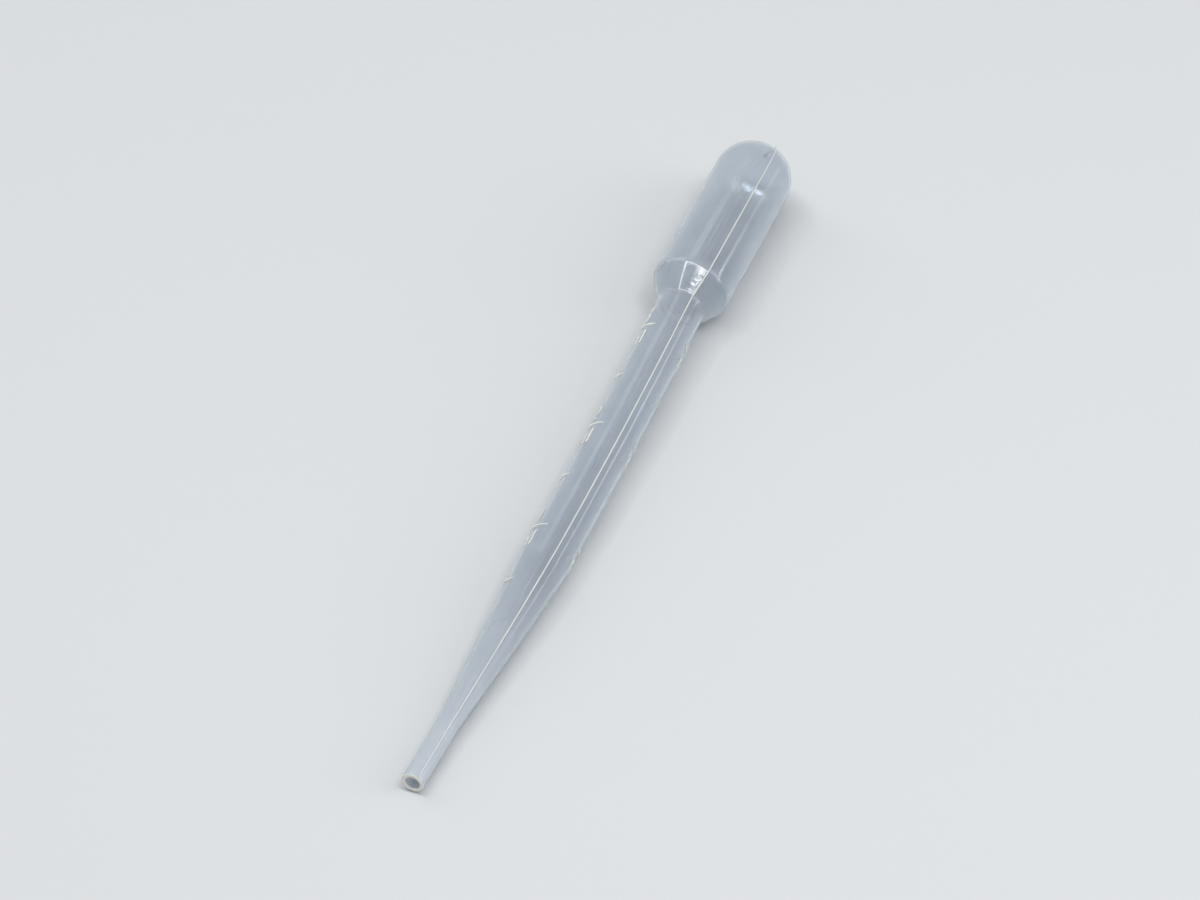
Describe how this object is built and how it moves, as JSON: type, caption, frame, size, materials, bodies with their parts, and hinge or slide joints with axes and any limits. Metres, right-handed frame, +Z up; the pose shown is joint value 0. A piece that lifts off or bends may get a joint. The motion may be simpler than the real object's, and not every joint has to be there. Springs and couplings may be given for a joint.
{
  "type": "dropper pipette",
  "caption": "Moulded plastic dropper pipette with a squeeze bulb, a stem with raised graduation ridges and a tapered open tip.",
  "frame": {"origin": "on the surface that the part lies on, under the middle of its box", "axes": "+X along the part, from the open tip to the bulb, whose axis rises 2.17 degrees towards the bulb as it lies; +Y to its side; +Z up"},
  "size_m": [0.1502, 0.0134, 0.0143],
  "materials": {
    "natural_polyethylene": "milky translucent, blow-moulded, soft satin gloss"
  },
  "bodies": {
    "root": {"pipette_body": "natural_polyethylene"}
  },
  "joints": []
}
